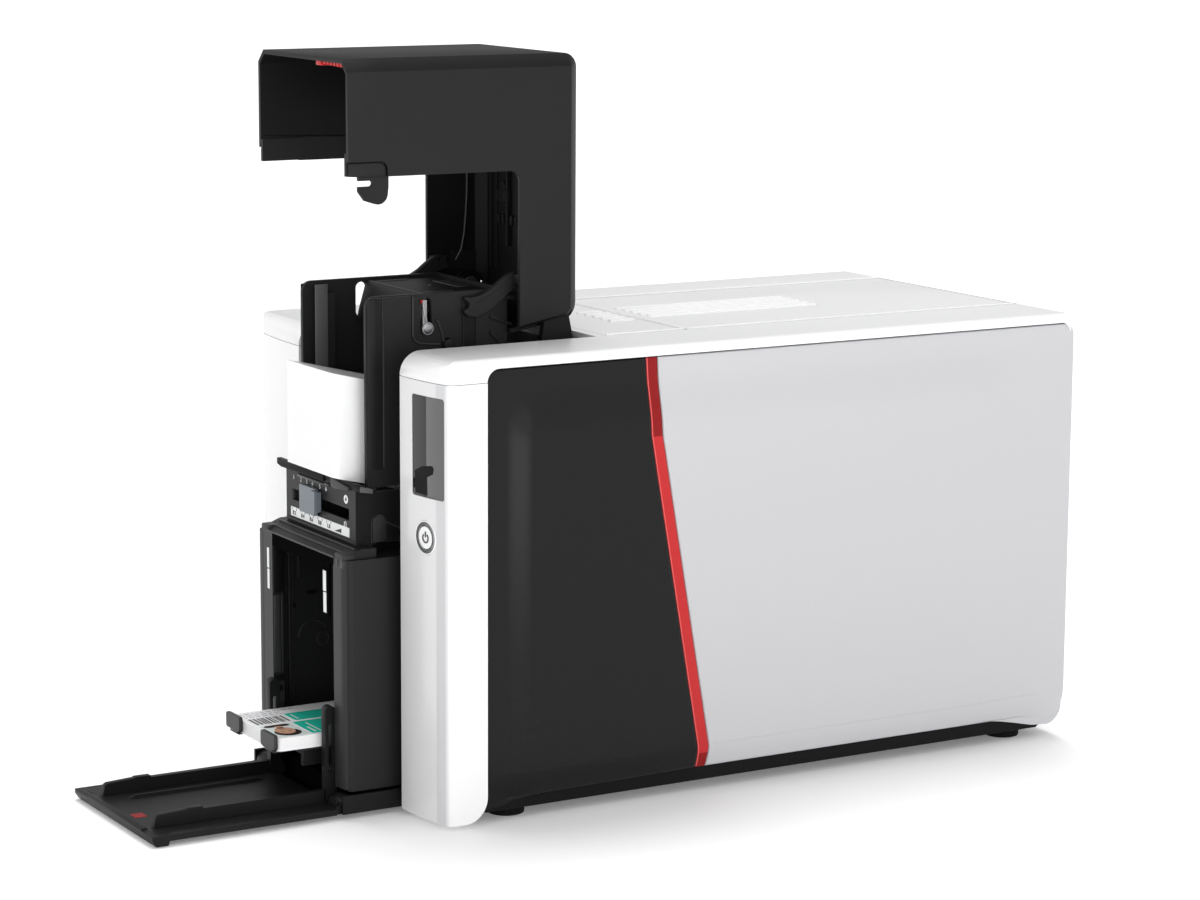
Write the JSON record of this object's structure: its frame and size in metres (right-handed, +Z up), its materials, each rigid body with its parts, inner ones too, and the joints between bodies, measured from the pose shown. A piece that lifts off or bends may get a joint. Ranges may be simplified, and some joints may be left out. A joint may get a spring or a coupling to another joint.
{
  "type": "id card printer",
  "caption": "Desktop card printer with an open flip-up feeder hood, card stack, thickness gauge, output hopper with drop-down door and card tray, top lid and full card drive.",
  "frame": {"origin": "centre of the bounding box at the soles of the feet", "axes": "+X to the right seen from the front, +Y to the back, +Z up; the feeder, the hood and the door are on the -Y side"},
  "size_m": [0.205, 0.496, 0.3615],
  "materials": {
    "black_plastic": "satin moulded black",
    "hood_plastic": "satin moulded black",
    "inner_black": "matt moulded black",
    "white_plastic": "satin white",
    "grey_panel": "smooth light grey",
    "red_plastic": "smooth dark red",
    "screen": "dark display window",
    "steel": "plain",
    "motor_steel": "grey",
    "brass": "plain",
    "roller_rubber": "ground",
    "cleaning_rubber": "tacky blue",
    "head_metal": "finned",
    "ribbon_film": "wound film",
    "ribbon_used": "wound film",
    "board": "green board",
    "fan_black": "plain",
    "slider_grey": "blue grey",
    "label": "printed scale",
    "card_white": "stacked cards"
  },
  "bodies": {
    "chassis": {"base_tray": "inner_black", "rubber_feet": "roller_rubber", "column_right": "white_plastic", "column_left": "white_plastic", "roof_shell": "white_plastic", "vent_panel": "white_plastic", "lid_hinge_pins": "steel", "side_front_right": "black_plastic", "side_stripe_right": "red_plastic", "side_rear_right": "grey_panel", "side_front_left": "black_plastic", "side_stripe_left": "red_plastic", "side_rear_left": "grey_panel", "rear_panel": "grey_panel", "power_inlet": "fan_black", "data_ports": "steel", "screen_glass": "screen", "button_ring": "black_plastic", "button_spring": "steel", "frame_right": "steel", "frame_left": "steel", "hinge_brackets": "inner_black", "feeder_walls": "hood_plastic", "pusher_latch": "steel", "feeder_floor": "inner_black", "gauge_block": "hood_plastic", "gauge_label": "label", "output_hopper": "black_plastic", "door_pins": "steel", "card_guides": "inner_black", "drive_belt": "roller_rubber", "main_motor": "motor_steel", "ribbon_motor": "motor_steel", "main_board": "board", "power_supply": "steel", "rear_fan": "fan_black", "frame_screws": "steel"},
    "hood": {"hood": "hood_plastic", "hood_pins": "steel", "hood_latch_hook": "hood_plastic"},
    "output_door": {"output_door": "black_plastic"},
    "card_tray": {"card_tray": "inner_black"},
    "printed_cards": {"printed_cards": "card_white"},
    "blank_cards": {"blank_cards": "card_white"},
    "card_pusher": {"card_pusher": "inner_black"},
    "gauge_slider": {"gauge_slider": "slider_grey"},
    "power_button": {"power_button": "white_plastic"},
    "ribbon_lid": {"ribbon_lid": "white_plastic"},
    "feed_roller": {"feed_roller": "roller_rubber"},
    "pick_roller": {"pick_roller": "roller_rubber"},
    "cleaning_roller": {"cleaning_roller": "cleaning_rubber"},
    "platen_roller": {"platen_roller": "roller_rubber"},
    "exit_roller": {"exit_roller": "roller_rubber"},
    "motor_pinion": {"motor_pinion": "brass"},
    "print_head": {"print_head": "head_metal"},
    "ribbon_supply": {"ribbon_supply": "ribbon_film"},
    "ribbon_takeup": {"ribbon_takeup": "ribbon_used"},
    "flip_station": {"flip_station": "inner_black"},
    "fan_rotor": {"fan_rotor": "fan_black"}
  },
  "joints": [
    {"name": "hood_hinge", "type": "hinge", "parent": "chassis", "child": "hood", "pos_m": [0.007, -0.032, 0.2422], "axis": [1, 0, 0], "range_deg": [0, 90]},
    {"name": "output_door_hinge", "type": "hinge", "parent": "chassis", "child": "output_door", "pos_m": [0.007, -0.1468, 0.007], "axis": [-1, 0, 0], "range_deg": [0, 90]},
    {"name": "card_tray_slide", "type": "slide", "parent": "chassis", "child": "card_tray", "axis": [0, 1, 0], "range_m": [0, 0.034]},
    {"name": "printed_cards_lift", "type": "slide", "parent": "card_tray", "child": "printed_cards", "axis": [0, 0, 1], "range_m": [0, 0.05]},
    {"name": "blank_cards_slide", "type": "slide", "parent": "chassis", "child": "blank_cards", "axis": [0, -0.972, 0.2351], "range_m": [0, 0.004]},
    {"name": "card_pusher_slide", "type": "slide", "parent": "chassis", "child": "card_pusher", "axis": [0, 0, 1], "range_m": [-0.032, 0]},
    {"name": "gauge_slider_slide", "type": "slide", "parent": "chassis", "child": "gauge_slider", "axis": [1, 0, 0], "range_m": [-0.02, 0.03]},
    {"name": "power_button_press", "type": "slide", "parent": "chassis", "child": "power_button", "axis": [0, 1, 0], "range_m": [0, 0.0015], "stiffness_N_per_m": 400},
    {"name": "ribbon_lid_hinge", "type": "hinge", "parent": "chassis", "child": "ribbon_lid", "pos_m": [-0.0005, 0.235, 0.219], "axis": [-1, 0, 0], "range_deg": [0, 75]},
    {"name": "platen_spin", "type": "hinge", "parent": "chassis", "child": "platen_roller", "pos_m": [0.007, 0.053, 0.116], "axis": [1, 0, 0], "continuous": true},
    {"name": "feed_spin", "type": "hinge", "parent": "chassis", "child": "feed_roller", "pos_m": [0.007, -0.041, 0.1296], "axis": [1, 0, 0], "continuous": true},
    {"name": "cleaning_spin", "type": "hinge", "parent": "chassis", "child": "cleaning_roller", "pos_m": [0.007, -0.001, 0.1165], "axis": [1, 0, 0], "continuous": true},
    {"name": "exit_spin", "type": "hinge", "parent": "chassis", "child": "exit_roller", "pos_m": [0.007, 0.127, 0.1165], "axis": [1, 0, 0], "continuous": true},
    {"name": "motor_spin", "type": "hinge", "parent": "chassis", "child": "motor_pinion", "pos_m": [-0.045, 0.021, 0.07], "axis": [1, 0, 0], "continuous": true},
    {"name": "pick_spin", "type": "hinge", "parent": "chassis", "child": "pick_roller", "pos_m": [0.007, -0.0895, 0.14089], "axis": [1, 0, 0], "continuous": true},
    {"name": "print_head_lift", "type": "hinge", "parent": "chassis", "child": "print_head", "pos_m": [0.007, 0.043, 0.15], "axis": [1, 0, 0], "range_deg": [0, 8]},
    {"name": "ribbon_supply_spin", "type": "hinge", "parent": "chassis", "child": "ribbon_supply", "pos_m": [0.007, 0.107, 0.172], "axis": [1, 0, 0], "continuous": true},
    {"name": "ribbon_takeup_spin", "type": "hinge", "parent": "chassis", "child": "ribbon_takeup", "pos_m": [0.007, 0.025, 0.172], "axis": [1, 0, 0], "continuous": true},
    {"name": "flip_turn", "type": "hinge", "parent": "chassis", "child": "flip_station", "pos_m": [0.007, 0.193, 0.122], "axis": [1, 0, 0], "range_deg": [0, 180]},
    {"name": "fan_spin", "type": "hinge", "parent": "chassis", "child": "fan_rotor", "pos_m": [0.081, 0.2365, 0.11], "axis": [0, 1, 0], "continuous": true}
  ],
  "couplings": [
    {"joint": "card_tray_slide", "follows": "output_door_hinge", "m_per_rad": 0.021645},
    {"joint": "platen_spin", "follows": "cleaning_spin", "ratio": 0.94118},
    {"joint": "exit_spin", "follows": "cleaning_spin", "ratio": 1},
    {"joint": "motor_spin", "follows": "cleaning_spin", "ratio": 1.3333},
    {"joint": "feed_spin", "follows": "cleaning_spin", "ratio": -1}
  ]
}
